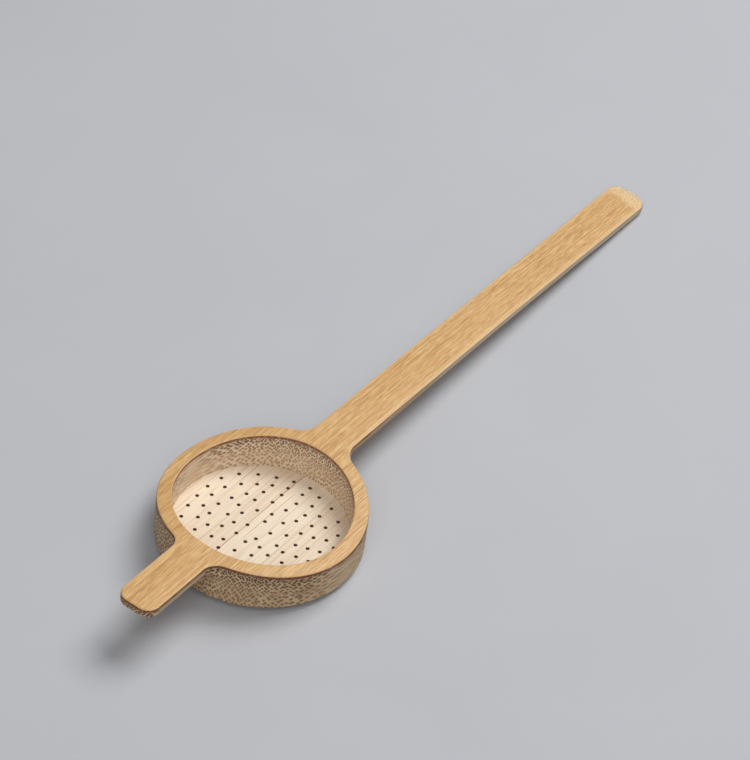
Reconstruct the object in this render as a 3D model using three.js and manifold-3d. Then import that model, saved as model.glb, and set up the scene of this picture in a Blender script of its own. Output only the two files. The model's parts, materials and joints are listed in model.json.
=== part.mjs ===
// A bamboo tea strainer: a shallow ring with a long flat handle on one side and a short
// resting lug on the other, carved from one piece of bamboo, and a thin round sieve glued
// up from bamboo strips, drilled, and let into the ring's foot from below.
//
// Millimetres, +Z up. The origin is the centre of the ring at its foot, +X runs along the
// handle to its tip, and the lug points along -X.

import * as THREE from "three";
import { mergeVertices } from "three/addons/utils/BufferGeometryUtils.js";
import Module from "manifold-3d";

const wasm = await Module();
wasm.setup();

// The ring.
const ringRadius = 30;
const boreRadius = 25.7;
const ridgeHeight = 14; // the top of the ring, on the line of the handle
const crownRadius = 143; // the top is the outside of the bamboo stem, round across the handle
const ringSides = 96;

// The handle, a thin blade that droops a little towards its tip.
const handleTipX = 193.6;
const handleWidth = 13.2;
const handleCentreY = 0.2; // hand-carved, so the blade is not quite in the middle
const handleThickness = 2.9;
const handleLeftCornerRadius = 3; // at the tip, towards +Y
const handleRightCornerRadius = 6; // worn rounder, towards -Y
const handleFlareX = 150; // from here to the tip the +Y side spreads a little
const handleFlare = 0.3;
const handleRootFillet = 6.7; // in plan, where the blade meets the ring
const handleUnderFillet = 4.5; // below the blade, against the ring
const topDroopStartX = 30;
const topDroopRadius = 4400;
const underDroopStartX = 60; // the underside is flat up to here, where it can rest on a cup
const underDroopRadius = 3000;
const tipBevelLength = 6.5;
const tipBevelDrop = 0.4;

// The lug opposite the handle, which rests on the far side of a cup.
const lugTipX = -56.4;
const lugWidth = 12.2;
const lugCentreY = 0.7;
const lugThickness = 3;
const lugCornerRadius = 3.8;
const lugRootFillet = 5.5;
const lugUnderFillet = 4;

// The sieve: strips glued edge to edge along X, in a rebate in the ring's foot.
const sieveRadius = 27.5;
const sieveThickness = 1;
const rebateGap = 0.3;
const stripPitch = 6.3;
const firstSeamY = 3.8; // a glue line just beside the centre
const holeDiameter = 1.15;
const holeSides = 8;
const holeRingPitch = 3.7; // from one ring of holes to the next
const holesPerRing = [4, 10, 14, 19, 24, 27];
const holeRingPhases = [-74, 5, -3, -5, -3, 0]; // degrees
const drillWander = 0.55; // how far the hand-held drill strays from a true ring

const past = 5; // how far a cutting shape runs beyond what it cuts
const degree = Math.PI / 180;

// ---- Solids ---------------------------------------------------------------------------

function solidOf(geometry) {
  const bare = geometry.clone();
  bare.deleteAttribute("normal");
  bare.deleteAttribute("uv");
  const merged = mergeVertices(bare, 1e-4);
  return new wasm.Manifold(
    new wasm.Mesh({
      numProp: 3,
      vertProperties: new Float32Array(merged.attributes.position.array),
      triVerts: new Uint32Array(merged.index.array),
    }),
  );
}

function geometryOf(solid) {
  const mesh = solid.getMesh();
  const geometry = new THREE.BufferGeometry();
  geometry.setAttribute("position", new THREE.BufferAttribute(mesh.vertProperties, 3));
  geometry.setIndex(new THREE.BufferAttribute(mesh.triVerts, 1));
  geometry.computeVertexNormals();
  return geometry;
}

// An upright cylinder from zLow to zHigh, centred on (x, y).
function post(radius, zLow, zHigh, sides, x = 0, y = 0) {
  const geometry = new THREE.CylinderGeometry(radius, radius, zHigh - zLow, sides);
  geometry.rotateX(Math.PI / 2);
  geometry.translate(x, y, (zLow + zHigh) / 2);
  return solidOf(geometry);
}

// A plan outline, drawn in X and Y, raised from zLow to zHigh.
function raised(outline, zLow, zHigh) {
  const geometry = new THREE.ExtrudeGeometry(outline, {
    depth: zHigh - zLow,
    bevelEnabled: false,
    curveSegments: 10,
  });
  geometry.translate(0, 0, zLow);
  return solidOf(geometry);
}

// A side outline, drawn in X and Z, run across the handle to width/2 on each side.
function acrossHandle(outline, width) {
  const geometry = new THREE.ExtrudeGeometry(outline, { depth: width, bevelEnabled: false });
  geometry.rotateX(Math.PI / 2);
  geometry.translate(0, width / 2, 0);
  return solidOf(geometry);
}

// An end outline, drawn in Y and Z, run along the handle from xLow to xHigh.
function alongHandle(outline, xLow, xHigh) {
  const geometry = new THREE.ExtrudeGeometry(outline, {
    depth: xHigh - xLow,
    bevelEnabled: false,
    curveSegments: 24,
  });
  geometry.rotateX(Math.PI / 2);
  geometry.rotateZ(Math.PI / 2);
  geometry.translate(xLow, 0, 0);
  return solidOf(geometry);
}

// ---- The body: ring, handle and lug ---------------------------------------------------

// Where a fillet of this radius sits between the ring and a straight edge at edgeY.
function rootFillet(edgeY, radius) {
  const y = edgeY + Math.sign(edgeY) * radius;
  const x = Math.sqrt((ringRadius + radius) ** 2 - y ** 2);
  return { x, y, angle: Math.atan2(y, x) };
}

// The blade seen from above: handle and lug with round corners, filleted into the ring.
// It is drawn anticlockwise, from the handle's tip round by the +Y side to the lug.
function bladePlan() {
  const leftY = { handle: handleCentreY + handleWidth / 2, lug: lugCentreY + lugWidth / 2 };
  const rightY = { handle: handleCentreY - handleWidth / 2, lug: lugCentreY - lugWidth / 2 };
  const handleLeft = rootFillet(leftY.handle, handleRootFillet);
  const handleRight = rootFillet(rightY.handle, handleRootFillet);
  const lugLeft = rootFillet(leftY.lug, lugRootFillet);
  const lugRight = rootFillet(rightY.lug, lugRootFillet);
  const lugCornerX = lugTipX + lugCornerRadius;
  const quarter = Math.PI / 2;
  const plan = new THREE.Shape();
  const arc = (x, y, radius, from, to) => plan.absarc(x, y, radius, from, to, to < from);
  const handleCorner = (edgeY, radius, from, to) =>
    arc(handleTipX - radius, edgeY - Math.sign(edgeY) * radius, radius, from, to);
  handleCorner(leftY.handle + handleFlare, handleLeftCornerRadius, 0, quarter);
  plan.lineTo(handleFlareX, leftY.handle);
  arc(handleLeft.x, handleLeft.y, handleRootFillet, -quarter, handleLeft.angle - Math.PI);
  arc(-lugLeft.x, lugLeft.y, lugRootFillet, -lugLeft.angle, -quarter);
  arc(lugCornerX, leftY.lug - lugCornerRadius, lugCornerRadius, quarter, Math.PI);
  arc(lugCornerX, rightY.lug + lugCornerRadius, lugCornerRadius, Math.PI, 3 * quarter);
  arc(-lugRight.x, lugRight.y, lugRootFillet, quarter, -lugRight.angle);
  arc(handleRight.x, handleRight.y, handleRootFillet, handleRight.angle + Math.PI, quarter);
  handleCorner(rightY.handle, handleRightCornerRadius, -quarter, 0);
  return plan;
}

function droop(x, startX, radius) {
  return x > startX ? (x - startX) ** 2 / (2 * radius) : 0;
}

const handleTop = (x) => ridgeHeight - droop(x, topDroopStartX, topDroopRadius);
const handleUnder = (x) =>
  ridgeHeight - handleThickness - droop(x, underDroopStartX, underDroopRadius);

// The blade seen from the side. Above the ring and the lug it stands proud, and the crown
// trims it.
function bladeProfile() {
  const bevelX = handleTipX - tipBevelLength;
  const droopStep = 12;
  const lugUnderZ = ridgeHeight - lugThickness;
  const handleUnderZ = ridgeHeight - handleThickness;
  const side = new THREE.Shape();
  side.moveTo(lugTipX - past, ridgeHeight + past);
  side.lineTo(0, ridgeHeight + past);
  for (let x = topDroopStartX; x < bevelX - 1; x += droopStep) side.lineTo(x, handleTop(x));
  side.lineTo(bevelX, handleTop(bevelX));
  side.lineTo(handleTipX, handleTop(handleTipX) - tipBevelDrop);
  side.lineTo(handleTipX + past, handleTop(handleTipX) - tipBevelDrop);
  side.lineTo(handleTipX + past, handleUnder(handleTipX));
  for (let x = handleTipX; x > underDroopStartX; x -= droopStep) side.lineTo(x, handleUnder(x));
  side.lineTo(underDroopStartX, handleUnderZ);
  side.absarc(
    ringRadius + handleUnderFillet,
    handleUnderZ - handleUnderFillet,
    handleUnderFillet,
    Math.PI / 2,
    Math.PI,
    false,
  );
  side.lineTo(0, handleUnderZ - handleUnderFillet);
  side.absarc(
    -ringRadius - lugUnderFillet,
    lugUnderZ - lugUnderFillet,
    lugUnderFillet,
    0,
    Math.PI / 2,
    false,
  );
  side.lineTo(lugTipX - past, lugUnderZ);
  return side;
}

// Everything under the rounded outside of the bamboo stem.
function crownOutline() {
  const halfAngle = Math.asin((ringRadius + past) / crownRadius);
  const crown = new THREE.Shape();
  crown.moveTo(-ringRadius - past, -past);
  crown.lineTo(ringRadius + past, -past);
  crown.absarc(
    0,
    ridgeHeight - crownRadius,
    crownRadius,
    Math.PI / 2 - halfAngle,
    Math.PI / 2 + halfAngle,
    false,
  );
  return crown;
}

function makeBody() {
  const highest = ridgeHeight + past;
  const blade = raised(bladePlan(), 0, highest).intersect(
    acrossHandle(bladeProfile(), 2 * ringRadius),
  );
  return post(ringRadius, 0, highest, ringSides)
    .add(blade)
    .intersect(alongHandle(crownOutline(), lugTipX - past, handleTipX + past))
    .subtract(post(boreRadius, -past, highest, ringSides))
    .subtract(post(sieveRadius + rebateGap, -past, sieveThickness, ringSides));
}

// ---- The sieve ------------------------------------------------------------------------

// The holes lie on rings, and each one strays a little, as hand-drilled holes do.
function holeCentres() {
  const centres = [];
  holesPerRing.forEach((count, ring) => {
    for (let i = 0; i < count; i++) {
      const turn = holeRingPhases[ring] * degree + (2 * Math.PI * i) / count;
      const radius = (ring + 1) * holeRingPitch;
      const outward = drillWander * Math.sin(11.3 * i + 5.4 * (ring + 1));
      const sideways = drillWander * Math.sin(5.7 * i + 4 * (ring + 1));
      centres.push({
        x: (radius + outward) * Math.cos(turn) - sideways * Math.sin(turn),
        y: (radius + outward) * Math.sin(turn) + sideways * Math.cos(turn),
      });
    }
  });
  return centres;
}

function makeDrilledDisc() {
  const bits = holeCentres().map(({ x, y }) =>
    post(holeDiameter / 2, -past, sieveThickness + past, holeSides, x, y),
  );
  return post(sieveRadius, 0, sieveThickness, ringSides).subtract(wasm.Manifold.union(bits));
}

// The drilled disc sawn along its glue lines, from the -Y side to the +Y side.
function makeStrips() {
  const disc = makeDrilledDisc();
  const seamsBelow = Math.floor((sieveRadius + firstSeamY) / stripPitch);
  const stripCount = seamsBelow + Math.ceil((sieveRadius - firstSeamY) / stripPitch) + 1;
  const strips = [];
  for (let i = 0; i < stripCount; i++) {
    const yLow = firstSeamY + (i - seamsBelow - 1) * stripPitch;
    const slab = new THREE.BoxGeometry(4 * sieveRadius, stripPitch, 4 * sieveThickness);
    slab.translate(0, yLow + stripPitch / 2, 0);
    strips.push(disc.intersect(solidOf(slab)));
  }
  return strips;
}

// ---- The assembly ---------------------------------------------------------------------

const bodyBamboo = new THREE.MeshStandardMaterial({
  color: 0xcda673,
  roughness: 0.5,
  metalness: 0,
});
const sieveBamboo = new THREE.MeshStandardMaterial({
  color: 0xe4d0b4,
  roughness: 0.62,
  metalness: 0,
});

function part(name, solid, material) {
  const mesh = new THREE.Mesh(geometryOf(solid), material);
  mesh.name = name;
  return mesh;
}

const strainer = new THREE.Group();
strainer.add(part("body", makeBody(), bodyBamboo));
const sieve = new THREE.Group();
makeStrips().forEach((solid, i) => sieve.add(part(`sieve_strip_${i + 1}`, solid, sieveBamboo)));
strainer.add(sieve);

export default strainer;
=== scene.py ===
# %% [markdown]
# # A bamboo tea strainer
# The strainer rests across a cup or a tea pitcher on its long handle and the short lug
# opposite. Ring, handle and lug are one piece, carved from the wall of a thick bamboo
# stem with the outside of the stem on top. The sieve is a thin round board, glued up
# from pale bamboo strips, drilled, and let into the ring's foot from below.
# The CAD model gives each piece its size and place, so it is loaded first and never
# changed. Here each piece is modelled again with finer edges and a real finish.

# %% Load the frame
import json
import math
from collections import namedtuple

import bmesh
import bpy
from mathutils import Matrix, Vector
from mathutils.geometry import intersect_point_line

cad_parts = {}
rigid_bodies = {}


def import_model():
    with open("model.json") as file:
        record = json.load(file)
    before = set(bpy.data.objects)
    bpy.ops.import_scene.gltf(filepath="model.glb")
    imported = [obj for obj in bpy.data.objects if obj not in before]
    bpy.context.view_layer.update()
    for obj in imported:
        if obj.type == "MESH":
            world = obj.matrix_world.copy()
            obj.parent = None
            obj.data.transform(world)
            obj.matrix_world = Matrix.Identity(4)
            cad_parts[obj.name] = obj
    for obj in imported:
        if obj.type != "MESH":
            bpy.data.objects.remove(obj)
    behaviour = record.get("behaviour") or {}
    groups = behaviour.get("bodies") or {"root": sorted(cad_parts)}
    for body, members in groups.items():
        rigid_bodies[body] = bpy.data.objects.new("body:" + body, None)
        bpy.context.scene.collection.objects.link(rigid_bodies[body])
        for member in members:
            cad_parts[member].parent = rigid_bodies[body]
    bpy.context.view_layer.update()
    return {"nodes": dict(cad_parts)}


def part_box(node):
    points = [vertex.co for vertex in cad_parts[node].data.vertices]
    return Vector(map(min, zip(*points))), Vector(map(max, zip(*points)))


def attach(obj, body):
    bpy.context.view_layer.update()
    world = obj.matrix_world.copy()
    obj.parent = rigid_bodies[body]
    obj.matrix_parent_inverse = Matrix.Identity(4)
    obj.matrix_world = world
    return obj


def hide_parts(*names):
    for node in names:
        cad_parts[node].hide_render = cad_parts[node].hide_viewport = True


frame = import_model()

mm = 0.001
hair = 0.01 * mm  # places closer than this count as the same
tiny = 0.001 * mm  # points closer than this are merged into one
print("frame nodes:", len(frame["nodes"]))

# %% [markdown]
# ## The ring
# On the real strainer the ring is turned: one wall, 14 mm high, with a rim that follows
# the outside of the stem. It could be a cylinder with a hole cut through it, but a cut
# leaves long thin faces that a bevel stumbles on. Here one circle is drawn at the foot
# and carried up the outside, over the rim, down the bore and round the rebate, so that
# every face has four sides and the columns of faces line up with the handle and the lug.

# %% Sizes of the ring
body_low, body_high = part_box("body")
sieve_low, sieve_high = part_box("sieve_strip_5")
ring_radius = body_high.y
ridge_height = body_high.z
sieve_radius = sieve_high.x
sieve_thickness = sieve_high.z
bore_radius = 25.7 * mm
rebate_radius = 27.8 * mm
shoulder_height = 6.6 * mm  # the outer wall is straight up to here, then swells into the blades
rim_circles = (28.5 * mm, 27.1 * mm)  # they split the rim into three bands of faces
ring_columns = 136  # faces round the ring
column_angle = 2 * math.pi / ring_columns
print("ring radius", round(ring_radius / mm, 2), "height", round(ridge_height / mm, 2))


# %% Helpers: work on one piece, and choose parts of it by their place
def work_on(piece):
    """Select this piece alone and open it for editing."""
    bpy.ops.object.select_all(action="DESELECT")
    piece.select_set(True)
    bpy.context.view_layer.objects.active = piece
    bpy.ops.object.mode_set(mode="EDIT")


def choose(kind, wanted):
    """Select the "verts", "edges" or "faces" of the open piece that pass a test."""
    bpy.ops.mesh.select_all(action="DESELECT")
    bpy.ops.mesh.select_mode(type={"verts": "VERT", "edges": "EDGE", "faces": "FACE"}[kind])
    shape = bmesh.from_edit_mesh(bpy.context.object.data)
    shape.normal_update()
    chosen = [part for part in getattr(shape, kind) if wanted(part)]
    for part in chosen:
        part.select_set(True)
    shape.select_flush_mode()
    bmesh.update_edit_mesh(bpy.context.object.data)
    return len(chosen)


def close_to(value, target):
    return abs(value - target) < hair


# %% Draw the ring's section round
bpy.ops.object.select_all(action="DESELECT")
bpy.ops.mesh.primitive_circle_add(vertices=ring_columns, radius=ring_radius, fill_type="NOTHING")
body = bpy.context.object
body.name = "carved_body"
work_on(body)
bpy.ops.mesh.select_all(action="SELECT")
ring_section = [
    (ring_radius, 0),
    (ring_radius, shoulder_height),
    (ring_radius, ridge_height),
    (rim_circles[0], ridge_height),
    (rim_circles[1], ridge_height),
    (bore_radius, ridge_height),
    (bore_radius, sieve_thickness),
    (rebate_radius, sieve_thickness),
    (rebate_radius, 0),
]
for (radius, height), (next_radius, next_height) in zip(ring_section, ring_section[1:]):
    lift = (0, 0, next_height - height)
    bpy.ops.mesh.extrude_region_move(TRANSFORM_OT_translate={"value": lift})
    widen = next_radius / radius
    bpy.ops.transform.resize(value=(widen, widen, 1), center_override=(0, 0, 0))
foot_edges = choose("edges", lambda edge: all(v.co.z < hair for v in edge.verts))
bpy.ops.mesh.bridge_edge_loops()
bpy.ops.mesh.select_all(action="SELECT")
bpy.ops.mesh.remove_doubles(threshold=tiny)
bpy.ops.mesh.normals_make_consistent(inside=False)
print("foot edges bridged:", foot_edges)

# %% [markdown]
# ## The handle and the lug
# Both blades grow out of the ring's upper wall. A carver leaves a round hollow beside
# and under each root, so the root is drawn out in short steps: each step moves the
# chosen faces outwards, flattens their bulge, narrows them and thins them from below.
# A joined-on bar with a bevelled joint would be quicker, but its joint would show.


# %% Sections of a blade
Section = namedtuple("Section", "side_x bulge half_width centre_y depth")
fillet_steps = 8


def root_sections(columns, half_width, thickness, centre_y):
    """Sections from the ring's wall to the straight blade, for round hollows beside and under it."""
    spread = columns * column_angle
    beside = (ring_radius * math.sin(spread) - half_width) / (1 - math.sin(spread))
    under = ridge_height - thickness - shoulder_height
    hollow_x = (ring_radius + beside) * math.cos(spread)
    sections = []
    for step in range(fillet_steps + 1):
        part = step / fillet_steps
        turn = (math.pi / 2 - spread) * (1 - part)
        side_x = hollow_x - beside * math.sin(turn)
        middle_x = ring_radius + under * (1 - math.cos(part * math.pi / 2))
        sections.append(Section(
            side_x=side_x,
            bulge=middle_x - side_x,
            half_width=half_width + beside * (1 - math.cos(turn)),
            centre_y=centre_y * part,
            depth=thickness + under * (1 - math.sin(part * math.pi / 2)),
        ))
    return sections


# %% Draw a blade out of the wall, section by section
def extrude_to(old, new, way):
    """Carry the chosen end from one section to the next, along +X (way 1) or -X (way -1)."""
    shift = (way * (new.side_x - old.side_x), new.centre_y - old.centre_y, 0)
    bpy.ops.mesh.extrude_region_move(TRANSFORM_OT_translate={"value": shift})
    flatten = new.bulge / max(old.bulge, tiny)
    narrow = new.half_width / old.half_width
    thin = new.depth / old.depth
    pivot = (way * new.side_x, new.centre_y, ridge_height)
    bpy.ops.transform.resize(value=(flatten, narrow, thin), center_override=pivot)


def draw_blade(way, columns, root, straight_xs):
    """Choose the ring's wall at the root, and draw the blade out of it."""
    reach = columns * column_angle

    def at_root(face):
        middle = face.calc_center_median()
        outside = middle.xy.length > 0.99 * ring_radius
        turned = abs(math.atan2(middle.y, way * middle.x))
        return outside and middle.z > shoulder_height and turned < reach

    faces = choose("faces", at_root)
    sections = list(root)
    for x in straight_xs:
        sections.append(root[-1]._replace(side_x=x, bulge=0))
    for old, new in zip(sections, sections[1:]):
        extrude_to(old, new, way)
    print("blade drawn from", faces, "faces in", len(sections), "sections")


# %% Round the end of a blade
def round_end(way, columns, section, tip_x, corners, first_x, steps):
    """Carry the end on to the tip, and slide each column of points onto a round-cornered outline.

    The corners are two radii, the one towards -Y first.
    """
    last_x = tip_x - max(corners)
    margin = mm  # the last row but one lies this far inside the outline, clear of the eased edge
    reach = columns * column_angle

    def on_outline(share, corner, inset=0):
        """A point of the outline, from the middle of the end (share 0) round to the side (share 1)."""
        flat = section.half_width - corner
        radius = corner - inset
        along = share * (flat + radius * math.pi / 2)
        turn = max(0, along - flat) / radius
        x = tip_x - corner + radius * math.cos(turn)
        y = min(along, flat) + radius * math.sin(turn)
        return Vector((x, y))

    rows = [first_x + (last_x - first_x) * step / steps for step in range(1, steps + 1)]
    old = section._replace(side_x=first_x, bulge=0)
    for x in rows:
        new = old._replace(side_x=x)
        extrude_to(old, new, way)
        old = new
    for step in range(steps, 0, -1):
        for column in range(-columns, columns + 1):
            count = abs(column)
            corner = corners[column > 0]
            straight_y = section.half_width * math.sin(count * column_angle) / math.sin(reach)
            now = Vector((rows[step - 1], straight_y))
            if step == steps:
                goal = on_outline(count / columns, corner)
            elif count == columns:
                goal = now + Vector((max(corners) - corner, 0)) * step / steps
            else:
                inner = on_outline(count / (columns - 1), corner, margin)
                last_but_one = Vector((rows[steps - 2], straight_y))
                goal = now.lerp(inner + now - last_but_one, step / (steps - 1))
            sign = math.copysign(1, column)
            row_x = way * now.x
            row_y = section.centre_y + sign * now.y
            choose("verts", lambda v: close_to(v.co.x, row_x) and close_to(v.co.y, row_y))
            slide = (way * (goal.x - now.x), sign * (goal.y - now.y), 0)
            bpy.ops.transform.translate(value=slide)


# %% The handle
handle_tip = body_high.x
handle_columns = 8
handle_root = root_sections(handle_columns, half_width=6.6 * mm, thickness=2.9 * mm, centre_y=0.2 * mm)
handle_round_from = handle_tip - 12 * mm
handle_xs = [x * mm for x in (38, 44, 52)]  # closer together near the root
handle_steps = 10
for step in range(1, handle_steps + 1):
    handle_xs.append(handle_xs[2] + (handle_round_from - handle_xs[2]) * step / handle_steps)
draw_blade(1, handle_columns, handle_root, handle_xs)
handle_corners = (6 * mm, 3 * mm)  # the corner towards -Y is worn rounder
round_end(
    1, handle_columns, handle_root[-1], handle_tip, handle_corners,
    first_x=handle_round_from, steps=6,
)

# %% The lug
lug_tip = -body_low.x
lug_columns = 7
lug_root = root_sections(lug_columns, half_width=6.1 * mm, thickness=3 * mm, centre_y=0.7 * mm)
lug_xs = [x * mm for x in (36, 40, 44, 47)]
draw_blade(-1, lug_columns, lug_root, lug_xs)
lug_corners = (3.8 * mm, 3.8 * mm)
round_end(
    -1, lug_columns, lug_root[-1], lug_tip, lug_corners,
    first_x=lug_xs[-1], steps=5,
)
print("points so far:", len(bmesh.from_edit_mesh(body.data).verts))

# %% [markdown]
# ## The outside of the stem
# The top of the strainer is the outside of a stem nearly 290 mm across, so it is round
# across the handle. A big cylinder stands in for the stem, and Shrinkwrap drops the top
# points straight down onto it. Moving them one by one would give the same shape with
# more code.

# %% Drop the top onto the stem's outside
stem_radius = 143 * mm
choose("verts", lambda v: v.co.z > ridge_height - hair)
bpy.ops.object.vertex_group_assign_new()
body.vertex_groups[-1].name = "stem_outside"
bpy.ops.object.mode_set(mode="OBJECT")
bpy.ops.mesh.primitive_cylinder_add(
    vertices=1440,
    radius=stem_radius,
    depth=600 * mm,
    location=(0, 0, ridge_height - stem_radius),
    rotation=(0, math.pi / 2, 0),
)
stem = bpy.context.object


def apply_modifier(piece, kind, **settings):
    """Add a modifier, give it its settings and apply it."""
    bpy.ops.object.select_all(action="DESELECT")
    piece.select_set(True)
    bpy.context.view_layer.objects.active = piece
    modifier = piece.modifiers.new(kind.lower(), kind)
    for name, value in settings.items():
        setattr(modifier, name, value)
    bpy.ops.object.modifier_apply(modifier=modifier.name)


apply_modifier(
    body,
    "SHRINKWRAP",
    target=stem,
    vertex_group="stem_outside",
    wrap_method="PROJECT",
    use_project_z=True,
    use_negative_direction=True,
    use_positive_direction=True,
    project_limit=5 * mm,
)
bpy.data.objects.remove(stem)
rim = [v for v in body.data.vertices if v.co.z > 9 * mm and v.co.xy.length > 0.99 * ring_radius]
print("lowest point of the rim, in mm:", round(min(v.co.z for v in rim) / mm, 2))

# %% [markdown]
# ## The droop of the handle
# The blade sags a few millimetres towards its tip, the top of the tip is pared down a
# little over its last stretch, and one side spreads by a fraction of a millimetre. They
# could be moved point by point, but all are long soft bends, so a lattice does them: a
# cage of points in two layers, where the upper one follows the top and the lower one the
# underside.

# %% Bend the handle with a cage
droop_start = ring_radius
droop_radius = 4400 * mm
under_start = 60 * mm
under_radius = 3000 * mm
tip_drop = 0.4 * mm
flare_start = 150 * mm
flare = 0.3 * mm  # how far the side towards +Y has spread by the tip
cage_points = 26  # one interval of the cage is the pared stretch at the tip
blade_depth = handle_root[-1].depth
blade_width = 2 * handle_root[-1].half_width
straight_side = handle_root[-1].centre_y - blade_width / 2


def droop_of(x, start, radius):
    return max(0, x - start) ** 2 / (2 * radius)


bpy.ops.object.select_all(action="DESELECT")
bpy.ops.object.add(
    type="LATTICE",
    location=((droop_start + handle_tip) / 2, 0, ridge_height - blade_depth / 2),
)
cage = bpy.context.object
cage.scale = (handle_tip - droop_start, 2 * ring_radius, blade_depth)
cage.data.points_u = cage_points
for way in "uvw":
    setattr(cage.data, f"interpolation_type_{way}", "KEY_LINEAR")
bpy.context.view_layer.update()
for point in cage.data.points:
    x, y, z = cage.matrix_world @ point.co
    if point.co.z > 0:
        lower = droop_of(x, droop_start, droop_radius)
        if close_to(x, handle_tip):
            lower += tip_drop
    else:
        lower = droop_of(x, under_start, under_radius)
    point.co_deform.z -= lower / blade_depth
    spread = flare * max(0, x - flare_start) / (handle_tip - flare_start)
    point.co_deform.y += spread * (y - straight_side) / blade_width / (2 * ring_radius)
apply_modifier(body, "LATTICE", object=cage)
bpy.data.objects.remove(cage)
tip_points = [v.co.z for v in body.data.vertices if v.co.x > handle_tip - 0.1 * mm]
print("tip from", round(min(tip_points) / mm, 2), "to", round(max(tip_points) / mm, 2), "mm high")

# %% [markdown]
# ## Eased edges
# A carver breaks every edge with a knife and sandpaper. The outline on top is rounded
# most, because fingers and lips touch it. The rebate keeps nearly sharp edges, because
# the sieve is glued there. A bevel on chosen edges gives each its own radius.


# %% Round the edges
def between(edge, first, second):
    """Whether one face beside the edge passes the first test and the other the second."""
    if len(edge.link_faces) != 2:
        return False
    one, other = (face.normal for face in edge.link_faces)
    return first(one) and second(other) or first(other) and second(one)


def is_top(normal):
    return normal.z > 0.8


def is_under(normal):
    return normal.z < -0.8


def is_wall(normal):
    return abs(normal.z) < 0.6


def reach_of(edge):
    return ((edge.verts[0].co + edge.verts[1].co) / 2).xy.length


def height_of(edge):
    return (edge.verts[0].co.z + edge.verts[1].co.z) / 2


def ease(radius, segments, wanted):
    """Round the wanted edges. Loop slide is off, because it folds the mesh where a corner begins."""
    count = choose("edges", wanted)
    bpy.ops.mesh.bevel(offset=radius, segments=segments, affect="EDGES", loop_slide=False)
    return count


def is_outline(edge):
    return between(edge, is_top, is_wall) and reach_of(edge) > 0.98 * ring_radius


def clear_outline(room):
    """Dissolve the points of the top that a bevel of the outline would run over."""
    work_on(body)
    shape = bmesh.from_edit_mesh(body.data)
    shape.normal_update()
    outline_edges = [edge for edge in shape.edges if is_outline(edge)]
    sides = [[vertex.co.copy() for vertex in edge.verts] for edge in outline_edges]

    def crowds(vertex):
        if not all(is_top(face.normal) for face in vertex.link_faces):
            return False
        for start, end in sides:
            share = intersect_point_line(vertex.co, start, end)[1]
            nearest = start.lerp(end, min(max(share, 0), 1))
            if (vertex.co - nearest).length < room:
                return True
        return False

    cleared = choose("verts", crowds)
    bpy.ops.mesh.dissolve_verts()
    return cleared


print("points cleared:", clear_outline(room=0.65 * mm))
outline = ease(0.5 * mm, 4, is_outline)
lip = ease(0.35 * mm, 3, lambda e: between(e, is_top, is_wall) and reach_of(e) < 1.01 * bore_radius)
below = ease(
    0.4 * mm, 3,
    lambda e: between(e, is_under, is_wall) and height_of(e) > sieve_thickness + mm,
)
foot = ease(
    0.4 * mm, 3,
    lambda e: between(e, is_under, is_wall) and height_of(e) < 0.1 * mm
    and reach_of(e) > 0.98 * ring_radius,
)
rebate = ease(
    0.1 * mm, 2,
    lambda e: between(e, is_under, is_wall) and height_of(e) < 1.1 * sieve_thickness
    and reach_of(e) < 1.01 * rebate_radius,
)
print("edges eased:", outline, lip, below, foot, rebate)


# %% Finish the mesh
crease = math.radians(40)  # a sharper edge is shaded as an edge


def finish_mesh(piece):
    """Merge doubles, turn every face outwards and shade it smooth but for real edges."""
    if bpy.context.mode != "EDIT_MESH":
        work_on(piece)
    bpy.ops.mesh.select_all(action="SELECT")
    bpy.ops.mesh.remove_doubles(threshold=tiny)
    bpy.ops.mesh.normals_make_consistent(inside=False)
    bpy.ops.object.mode_set(mode="OBJECT")
    bpy.ops.object.shade_smooth_by_angle(angle=crease)
    apply_modifier(piece, "WEIGHTED_NORMAL", keep_sharp=True, weight=80)


finish_mesh(body)
body.vertex_groups.clear()
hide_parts("body")
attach(body, "root")
print("carved body:", len(body.data.polygons), "faces")

# %% [markdown]
# ## The sieve
# The sieve board is nine strips, a millimetre thick, glued edge to edge along the
# handle's direction and turned round. Each could be an outline filled and thickened, but
# here it is a whole disc sawn along its glue lines by bisect, so its ends keep the curve
# of the board. Its edges are eased very slightly, so that the glue lines show.

# %% Saw a strip out of a disc
strip_nodes = sorted(name for name in frame["nodes"] if name.startswith("sieve_strip_"))
board_radius = sieve_radius + 0.15 * mm  # the CAD model leaves a wider gap in the rebate
glue_gap = 0.01 * mm


def saw_strip(name, low_y, high_y):
    """A strip of the sieve board between two glue lines."""
    bpy.ops.object.select_all(action="DESELECT")
    bpy.ops.mesh.primitive_cylinder_add(
        vertices=216,
        radius=board_radius,
        depth=sieve_thickness,
        location=(0, 0, sieve_thickness / 2),
    )
    strip = bpy.context.object
    strip.name = name
    bpy.ops.object.transform_apply(location=True, rotation=True, scale=True)
    work_on(strip)
    for y, keep_above in ((low_y + glue_gap / 2, True), (high_y - glue_gap / 2, False)):
        if abs(y) > board_radius - 0.2 * mm:
            continue  # the first and the last strip keep the board's own edge on one side
        bpy.ops.mesh.select_all(action="SELECT")
        bpy.ops.mesh.bisect(
            plane_co=(0, y, 0),
            plane_no=(0, 1, 0),
            use_fill=True,
            clear_inner=keep_above,
            clear_outer=not keep_above,
            threshold=tiny,
        )
    ease(0.03 * mm, 1, lambda e: between(e, lambda n: abs(n.z) > 0.9, is_wall))
    finish_mesh(strip)
    return strip


strips = []
for node in strip_nodes:
    low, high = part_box(node)
    strips.append(saw_strip(node.replace("sieve", "board"), low.y, high.y))
print("strips:", [(s.name, len(s.data.polygons)) for s in strips])

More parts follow.
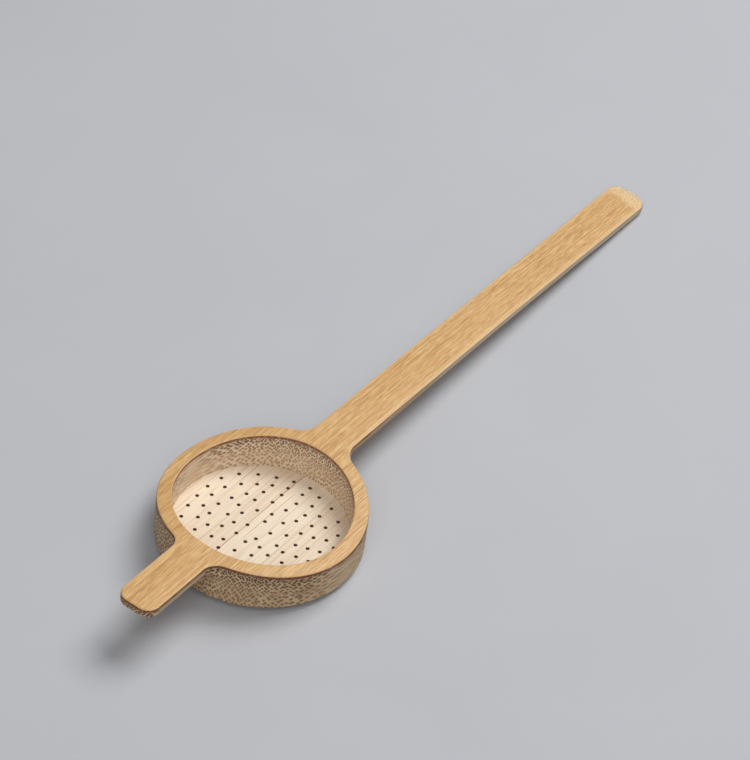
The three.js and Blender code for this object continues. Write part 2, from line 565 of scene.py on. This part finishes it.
# %% [markdown]
# ### The holes
# The holes lie on six rings about the middle, and the hand-held drill strays a little
# at each one. One drill bit is modelled, a slim cylinder that flares where it passes
# the surfaces, because sanding opens the mouth of each hole. Copies of it are cut from
# the strips with a Boolean, which is surer than drawing a mesh round 98 holes.

# %% Where the holes are
hole_radius = 0.575 * mm
hole_ring_pitch = 3.7 * mm
holes_per_ring = (4, 10, 14, 19, 24, 27)
ring_phases = (-74, 5, -3, -5, -3, 0)  # degrees
wander = 0.55 * mm

holes = []
for ring, (count, phase) in enumerate(zip(holes_per_ring, ring_phases), start=1):
    for i in range(count):
        turn = math.radians(phase) + 2 * math.pi * i / count
        out = ring * hole_ring_pitch + wander * math.sin(11.3 * i + 5.4 * ring)
        aside = wander * math.sin(5.7 * i + 4 * ring)
        holes.append(Vector((
            out * math.cos(turn) - aside * math.sin(turn),
            out * math.sin(turn) + aside * math.cos(turn),
            0,
        )))
print("holes:", len(holes))


# %% Drill a strip
def drill(strip, low_y, high_y):
    """Cut the holes that meet this strip."""
    mouth = 0.045 * mm  # how deep the flare goes, and how far it opens the hole
    near = [h for h in holes if low_y - 2 * hole_radius < h.y < high_y + 2 * hole_radius]
    if not near:
        return 0
    bpy.ops.object.select_all(action="DESELECT")
    bpy.ops.mesh.primitive_cylinder_add(
        vertices=24,
        radius=hole_radius,
        depth=sieve_thickness - 2 * mouth,
        location=(0, 0, sieve_thickness / 2),
    )
    bits = bpy.context.object
    bpy.ops.object.transform_apply(location=True, rotation=True, scale=True)
    work_on(bits)
    for way in (1, -1):
        choose("faces", lambda face: face.normal.z * way > 0.9)
        bpy.ops.mesh.extrude_region_move(TRANSFORM_OT_translate={"value": (0, 0, way * 2 * mouth)})
        widen = 1 + 2 * mouth / hole_radius
        bpy.ops.transform.resize(value=(widen, widen, 1), center_override=(0, 0, 0))
    bpy.ops.mesh.select_all(action="SELECT")
    bpy.ops.transform.translate(value=near[0])
    for previous, hole in zip(near, near[1:]):
        bpy.ops.mesh.duplicate_move(TRANSFORM_OT_translate={"value": hole - previous})
    bpy.ops.object.mode_set(mode="OBJECT")
    apply_modifier(strip, "BOOLEAN", object=bits, operation="DIFFERENCE", solver="EXACT")
    bpy.data.objects.remove(bits)
    return len(near)


for node, strip in zip(strip_nodes, strips):
    low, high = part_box(node)
    drilled = drill(strip, low.y, high.y)
    finish_mesh(strip)
    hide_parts(node)
    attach(strip, "root")
    print(strip.name, "holes tried:", drilled, "faces:", len(strip.data.polygons))

# %% [markdown]
# ## Shader sums
# The finishes are sums over the place of a point in the bamboo. Linked by hand they
# would be a page of nodes, so they are written as Python. A small class wraps a node's
# socket: each operator adds the Math node that works it out, and one method adds any
# other node.


# %% A socket that takes part in sums
class Signal:
    def __init__(self, socket):
        self.socket = socket

    def node(self, kind, settings=None, inputs=None, output=0):
        """Add a node: first its settings, then the values or links of its sockets."""
        made = self.socket.id_data.nodes.new(kind)
        for name, value in (settings or {}).items():
            setattr(made, name, value)
        for name, value in (inputs or {}).items():
            if isinstance(value, Signal):
                made.id_data.links.new(value.socket, made.inputs[name])
            else:
                made.inputs[name].default_value = value
        return Signal(made.outputs[output])

    def math(self, operation, first, second=0.0):
        return self.node("ShaderNodeMath", {"operation": operation}, {0: first, 1: second})

    def __add__(self, other):
        return self.math("ADD", self, other)

    def __sub__(self, other):
        return self.math("SUBTRACT", self, other)

    def __rsub__(self, other):
        return self.math("SUBTRACT", other, self)

    def __mul__(self, other):
        return self.math("MULTIPLY", self, other)

    def __truediv__(self, other):
        return self.math("DIVIDE", self, other)

    def __abs__(self):
        return self.math("ABSOLUTE", self)

    __radd__ = __add__
    __rmul__ = __mul__

    def limit(self, low=0.0, high=1.0):
        return self.math("MINIMUM", self.math("MAXIMUM", self, low), high)

    def fade(self, start, end):
        """0 at start and 1 at end, with soft shoulders. End may be below start."""
        low, high = min(start, end), max(start, end)
        out = (0.0, 1.0) if start < end else (1.0, 0.0)
        return self.node(
            "ShaderNodeMapRange",
            {"interpolation_type": "SMOOTHSTEP"},
            {"Value": self, "From Min": low, "From Max": high, "To Min": out[0], "To Max": out[1]},
        )

    def mix(self, first, second):
        """A colour between two others, with this signal as the share of the second."""
        inputs = {0: self, 6: first, 7: second}
        return self.node("ShaderNodeMix", {"data_type": "RGBA"}, inputs, output=2)

    def stretched(self, x, y, z):
        """A place divided by a pattern's length along each axis."""
        scale = (1 / x, 1 / y, 1 / z)
        return self.node("ShaderNodeVectorMath", {"operation": "MULTIPLY"}, {0: self, 1: scale})

    def noise(self, detail=2.0, roughness=0.5):
        """Smooth noise at this place, from 0 to 1."""
        inputs = {"Vector": self, "Scale": 1.0, "Detail": detail, "Roughness": roughness}
        return self.node("ShaderNodeTexNoise", {}, inputs)

    def vector(self, x, y, z):
        return self.node("ShaderNodeCombineXYZ", {}, {0: x, 1: y, 2: z})


def paint(red, green, blue):
    """A colour from 0 to 255 as a screen shows it, made linear for the shader."""
    linear = [((c / 255 + 0.055) / 1.055) ** 2.4 for c in (red, green, blue)]
    return (*linear, 1.0)


def new_finish(name):
    """An empty material, and its place signals: the place in mm and its x, y and z."""
    material = bpy.data.materials.new(name)
    material.use_nodes = True
    nodes = material.node_tree.nodes
    shader = nodes["Principled BSDF"]
    coordinates = Signal(nodes.new("ShaderNodeTexCoord").outputs["Object"])
    in_mm = {0: coordinates, "Scale": 1 / mm}
    place = coordinates.node("ShaderNodeVectorMath", {"operation": "SCALE"}, in_mm)
    split = [coordinates.node("ShaderNodeSeparateXYZ", {}, {0: place}, output=i) for i in range(3)]
    return material, shader, place, *split


def connect(signal, shader, name):
    signal.socket.id_data.links.new(signal.socket, shader.inputs[name])


# %% [markdown]
# ## The carved bamboo
# Bamboo is a bundle of hard brown fibres in pale soft tissue, all running along the
# stem. Just under the skin the fibres are fine and crowd into a dark line, and further
# in they are thicker, fewer and paler. Where a wall is cut across the stem the fibres
# show as dots, and where it is cut along the stem they show as streaks. So the finish
# is one solid pattern, worked out from the distance below the skin and from the place
# across the stem, and every cut through it comes out right by itself. An image wrapped
# round the piece would smear at the edges, where one cut meets another.

# %% Paints for the carved bamboo
outside_tissue = (paint(200, 168, 128), paint(216, 188, 150))
# The bore's tissue is painted paler than the outside's: painted bounce light from the sieve.
bore_tissue_painted_lit = (paint(232, 210, 182), paint(242, 224, 200))
handle_tissue = paint(226, 212, 188)
outside_fibre = (paint(92, 58, 36), paint(132, 98, 66))  # near the skin, and deep inside
# The bore's fibres are painted paler too: painted bounce light.
bore_fibre_painted_lit = paint(196, 162, 124)
speck = paint(150, 118, 82)
# The skin line is painted lighter in the bore: painted bounce light.
skin_line = (paint(124, 66, 32), paint(142, 82, 42))  # on the outside, and in the bore
streaks = (paint(186, 134, 74), paint(228, 188, 130))
broad_streak = paint(214, 168, 108)
pale_dash = paint(240, 204, 150)
brown_dash = paint(172, 118, 62)
# Paler paints for the blades' sides and the rounded edges: wear, and a painted highlight.
rubbed_side_and_highlight = paint(240, 206, 156)
worn_edge_and_highlight = paint(234, 198, 148)
pared_wood = paint(236, 204, 158)
pit_brown = paint(146, 98, 54)


# %% Carved bamboo
def carved_bamboo():
    material, shader, place, x, y, z = new_finish("carved_bamboo")
    facing = Signal(material.node_tree.nodes.new("ShaderNodeTexCoord").outputs["Normal"])
    end_cut = abs(facing.node("ShaderNodeSeparateXYZ", {}, {0: facing}, output=0))
    level = abs(facing.node("ShaderNodeSeparateXYZ", {}, {0: facing}, output=2))
    beyond = (x - droop_start / mm).limit(0, 1000)
    skin_height = ridge_height / mm - y * y / (2 * stem_radius / mm)
    depth = skin_height - beyond * beyond / (2 * droop_radius / mm) - z

    # The fibres wander a little along the stem.
    across = y + place.stretched(38, 9, 9).noise(detail=1) * 1.2
    down = depth + place.stretched(30, 8, 7).noise(detail=1) * 1.0

    def fibres(pitch, inner, outer, shift):
        """Dots across the stem, taller than wide, in staggered rows with about this pitch."""
        column = across / pitch + shift
        row = down / (1.4 * pitch)
        cell = place.vector((column + row) * 0.7, (column - row) * 0.7, 0.0)
        distance = place.node(
            "ShaderNodeTexVoronoi",
            {"voronoi_dimensions": "2D"},
            {"Vector": cell, "Scale": 1.0, "Randomness": 0.6},
        )
        return distance.fade(outer, inner)

    fine = fibres(0.56, 0.26, 0.5, 3.7) * depth.fade(2.6, 1.4)
    middling = fibres(0.7, 0.24, 0.5, 9.1) * depth.fade(1.2, 2.2) * depth.fade(8.5, 5.5)
    coarse = fibres(0.88, 0.2, 0.48, 5.3) * depth.fade(5.5, 8.5) * 0.9
    patchy = place.stretched(16, 3.0, 3.0).noise() * 0.8 + 0.6
    dots = ((fine + middling + coarse) * patchy * end_cut.fade(-0.35, 0.6)).limit()

    # The cut tissue between the fibres. The bore is painted palest, as painted bounce light from the
    # cream sieve, and the outside wall is left darker, as painted shade. It is pale along the handle.
    flat = {0: place, 1: (1, 1, 0)}
    across_ring = place.node("ShaderNodeVectorMath", {"operation": "MULTIPLY"}, flat)
    length = {"operation": "LENGTH"}
    from_middle = across_ring.node("ShaderNodeVectorMath", length, {0: across_ring}, output=1)
    # The share of painted bounce light, which makes the bore paler.
    painted_bounce_share = from_middle.fade(29, 27)  # 1 on the bore, 0 on the outside
    cloud = place.stretched(26, 4.5, 4.5).noise(detail=3)
    outside = cloud.fade(0.35, 0.7).mix(*outside_tissue)
    inside = cloud.fade(0.35, 0.7).mix(*bore_tissue_painted_lit)
    outside = (x.fade(45, 100) * 0.6).mix(outside, handle_tissue)
    tissue = painted_bounce_share.mix(outside, inside)
    fibre = depth.fade(1.0, 7.0).mix(*outside_fibre)
    # Paler fibres in the bore: painted bounce light.
    fibre = (painted_bounce_share * (depth.fade(1.5, 8.0) * 0.5 + 0.25)).mix(fibre, bore_fibre_painted_lit)
    speckle = place.stretched(1.6, 0.24, 0.24).noise(detail=2)
    tissue = (speckle.fade(0.5, 0.8) * 0.4).mix(tissue, speck)
    cut = dots.mix(tissue, fibre)

    # The dark line below the skin is broken here and there, and fades along the handle.
    line = depth.fade(0.15, 0.32) * depth.fade(1.5, 0.8) * level.fade(0.8, 0.5)
    line = line * (x.fade(62, 38) * 0.8 + 0.2)
    broken = place.stretched(3, 1.2, 1.2).noise(detail=2).fade(0.3, 0.6) * 0.35 + 0.6
    # In the bore the line is painted lighter: painted bounce light.
    cut = (line * broken).mix(cut, painted_bounce_share.mix(*skin_line))

    # The skin has been scraped off, and the top shows straight streaks of fibre.
    streak = place.stretched(22, 0.3, 0.3).noise(detail=3, roughness=0.62)
    broad = place.stretched(90, 2.4, 2.4).noise(detail=2)
    top = streak.fade(0.32, 0.68).mix(*streaks)
    top = (broad.fade(0.35, 0.7) * 0.4).mix(top, broad_streak)
    dash = place.stretched(3.6, 0.26, 0.26).noise(detail=1)
    top = (dash.fade(0.52, 0.66) * 0.45).mix(top, pale_dash)
    top = (dash.fade(0.46, 0.34) * 0.34).mix(top, brown_dash)

    # It is paler along the blades' sides and on the rounded edge: wear from hands, and a painted
    # highlight where a rounded edge catches the light.
    rub_and_highlight = abs(y - 0.4).fade(4.9, 6.2) * from_middle.fade(30, 34) * 0.4
    top = rub_and_highlight.mix(top, rubbed_side_and_highlight)
    # The rounded edge: wear and a painted highlight.
    top = (depth.fade(0.02, 0.1) * 0.4).mix(top, worn_edge_and_highlight)
    colour = depth.fade(0.2, 0.36).mix(top, cut)

    # The end of the handle is pared down, and shows the ends of fibres as small pits.
    ragged = x - y * 0.35 + place.stretched(2.5, 2, 2).noise(detail=3) * 6
    tip_x = handle_tip / mm
    pared = level.fade(0.6, 0.85) * ragged.fade(tip_x - 4.5, tip_x - 1.5)
    pit_cell = {"Vector": place.vector(x / 0.8, y / 0.6, 0.0), "Scale": 1.0}
    pits = place.node("ShaderNodeTexVoronoi", {"voronoi_dimensions": "2D"}, pit_cell)
    pits = pits.fade(0.32, 0.14)
    colour = (pared * 0.75).mix(colour, (pits * 0.7).mix(pared_wood, pit_brown))

    grain = streak * 0.5 + dots * 0.6 + speckle * 0.2 + pits * pared * 0.6
    relief = {"Strength": 0.4, "Distance": 0.12 * mm, "Height": 1 - grain}
    bump = place.node("ShaderNodeBump", {}, relief)
    connect(colour, shader, "Base Color")
    connect(0.42 + streak * 0.14 + depth.fade(0.2, 0.5) * 0.16, shader, "Roughness")
    connect(bump, shader, "Normal")
    shader.inputs["Specular IOR Level"].default_value = 0.45
    return material


body.data.materials.clear()
body.data.materials.append(carved_bamboo())
print("carved bamboo nodes:", len(body.data.materials[0].node_tree.nodes))

# %% [markdown]
# ## The sieve board
# The strips come from the inner, pale part of the stem. They are sanded and left dry,
# so they are matt and cream, with hair-fine fibres along them. Each strip has its own
# tone, and the glue shows as a thin line, brownest beside the middle. The walls of the
# holes are painted dark brown. Nine materials could give nine tones, but one is
# enough: it works out which strip a point is in, and draws that strip's tone by number.

# %% Paints for the board
cream = (paint(232, 213, 188), paint(242, 226, 204))
broad_cream = paint(244, 229, 206)
fine_fibre = paint(212, 182, 144)
vein_brown = paint(192, 152, 108)
glue_brown = paint(168, 116, 72)
# The dark brown painted on the walls of the holes.
hole_wall_brown = paint(118, 82, 50)


# %% Board bamboo
def board_bamboo():
    material, shader, place, x, y, z = new_finish("board_bamboo")
    first_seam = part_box("sieve_strip_1")[1].y / mm
    middle_low, middle_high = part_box("sieve_strip_5")
    pitch = (middle_high.y - middle_low.y) / mm
    row = place.math("FLOOR", (y - first_seam) / pitch)
    luck = place.node("ShaderNodeTexWhiteNoise", {"noise_dimensions": "1D"}, {"W": row})
    shifted = place.vector(x + luck * 400, y + luck * 37, z)

    fine = shifted.stretched(14, 0.2, 0.2).noise(detail=3, roughness=0.6)
    broad = shifted.stretched(60, 1.1, 1.1).noise(detail=2)
    tone = luck.mix(*cream)
    tone = (broad.fade(0.35, 0.7) * 0.6).mix(tone, broad_cream)
    tone = (fine.fade(0.48, 0.66) * 0.5).mix(tone, fine_fibre)
    vein = shifted.stretched(60, 0.3, 0.3).noise(detail=1).fade(0.62, 0.7)
    tone = (vein * 0.55).mix(tone, vein_brown)

    # The glue lines. The one just beside the middle is the darkest.
    past_seam = (y - first_seam) / pitch - row
    off_seam = place.math("MINIMUM", past_seam, 1 - past_seam) * pitch
    seam = off_seam.fade(0.2, 0.05)
    smear = place.stretched(11, 50, 50).noise(detail=1).fade(0.3, 0.6)
    main = abs(y - middle_high.y / mm).fade(1.0, 0.8)
    glue = seam * (0.05 + smear * 0.2 + main * 0.55)
    tone = glue.limit().mix(tone, glue_brown)

    # The walls of the holes are painted dark brown.
    facing = Signal(material.node_tree.nodes.new("ShaderNodeTexCoord").outputs["Normal"])
    upright = facing.node("ShaderNodeSeparateXYZ", {}, {0: facing}, output=2)
    hole_wall_share = abs(upright).fade(0.75, 0.35)
    colour = (hole_wall_share * 0.9).mix(tone, hole_wall_brown)

    bump = place.node("ShaderNodeBump", {}, {"Strength": 0.3, "Distance": 0.08 * mm, "Height": fine})
    connect(colour, shader, "Base Color")
    connect(0.62 + fine * 0.16, shader, "Roughness")
    connect(bump, shader, "Normal")
    shader.inputs["Specular IOR Level"].default_value = 0.35
    return material


board_finish = board_bamboo()
for strip in strips:
    strip.data.materials.clear()
    strip.data.materials.append(board_finish)
print("board bamboo nodes:", len(board_finish.node_tree.nodes))

# %% [markdown]
# ## The table
# Set down, the strainer tips back until the tip of its handle touches the table, so
# the front of the ring stands about three millimetres clear. Turning the strainer would
# move it out of the CAD model's frame, so the part stays level and the table is tilted
# instead: it is the plane through the ring's back edge and the tip.

# %% A pale table
tip_under = ridge_height - blade_depth - droop_of(handle_tip, under_start, under_radius)
table_slope = math.atan2(tip_under, handle_tip - ring_radius)
bpy.ops.object.select_all(action="DESELECT")
bpy.ops.mesh.primitive_grid_add(x_subdivisions=8, y_subdivisions=8, size=6)
table = bpy.context.object
table.name = "table"
table.rotation_euler = (0, -table_slope, 0)
table.location = Vector((ring_radius, 0, -0.05 * mm))
bpy.ops.object.transform_apply(location=True, rotation=True, scale=True)


def table_finish():
    material, shader, place, *_ = new_finish("pale_table")
    mottle = place.stretched(60, 60, 60).noise(detail=4)
    colour = mottle.mix(paint(186, 187, 191), paint(192, 193, 197))
    connect(colour, shader, "Base Color")
    connect(0.8 + mottle * 0.1, shader, "Roughness")
    shader.inputs["Specular IOR Level"].default_value = 0.2
    return material


table.data.materials.append(table_finish())
print("table slope in degrees:", round(math.degrees(table_slope), 2))

# %% [markdown]
# ## Light and camera
# One wide softbox hangs above and behind the handle, so the near walls are in shade and
# the bore wall throws a soft shadow on the sieve. A weaker one fills from the lug's
# side. A single lamp would leave the near walls too dark to show their fibres. The
# camera looks down over the lug, with a long lens and a slight lean.

# %% Light
centre_of_ring = Vector((0, 0, ridge_height))


def softbox(name, place, size, power):
    """A square lamp at a place, turned towards the ring."""
    lamp = bpy.data.lights.new(name, "AREA")
    lamp.size = size
    lamp.energy = power
    holder = bpy.data.objects.new(name, lamp)
    bpy.context.scene.collection.objects.link(holder)
    holder.location = place
    holder.rotation_euler = (Vector(place) - centre_of_ring).to_track_quat("Z", "Y").to_euler()


softbox("softbox", place=(0.61, -0.15, 1.15), size=0.75, power=12.4)
softbox("fill", place=(-0.75, -0.4, 1.0), size=1.0, power=6.4)
world = bpy.data.worlds.new("studio")
bpy.context.scene.world = world
world.use_nodes = True
sky = world.node_tree.nodes["Background"].inputs
sky["Color"].default_value = (0.93, 0.96, 1.0, 1.0)
sky["Strength"].default_value = 0.18
bpy.context.scene.view_settings.view_transform = "Standard"

# %% Camera
aim = Vector((37.58, -8.02, 37.94)) * mm
azimuth, elevation, lean = (math.radians(a) for a in (-58.80, 41.83, 8.015))
distance = 845.6 * mm
back = Vector((
    math.sin(azimuth) * math.cos(elevation),
    -math.cos(azimuth) * math.cos(elevation),
    math.sin(elevation),
))
level = Vector((0, 0, 1)).cross(back).normalized()
upward = back.cross(level)
right = math.cos(lean) * level + math.sin(lean) * upward
top = math.cos(lean) * upward - math.sin(lean) * level
camera = bpy.data.objects.new("camera", bpy.data.cameras.new("camera"))
bpy.context.scene.collection.objects.link(camera)
camera.data.lens = 142.1
camera.data.sensor_width = 36
camera.data.clip_end = 20
turned = Matrix((right, top, back)).transposed().to_4x4()
camera.matrix_world = Matrix.Translation(aim + distance * back) @ turned
bpy.context.scene.camera = camera
print("camera stands at", [round(c, 3) for c in camera.matrix_world.translation])
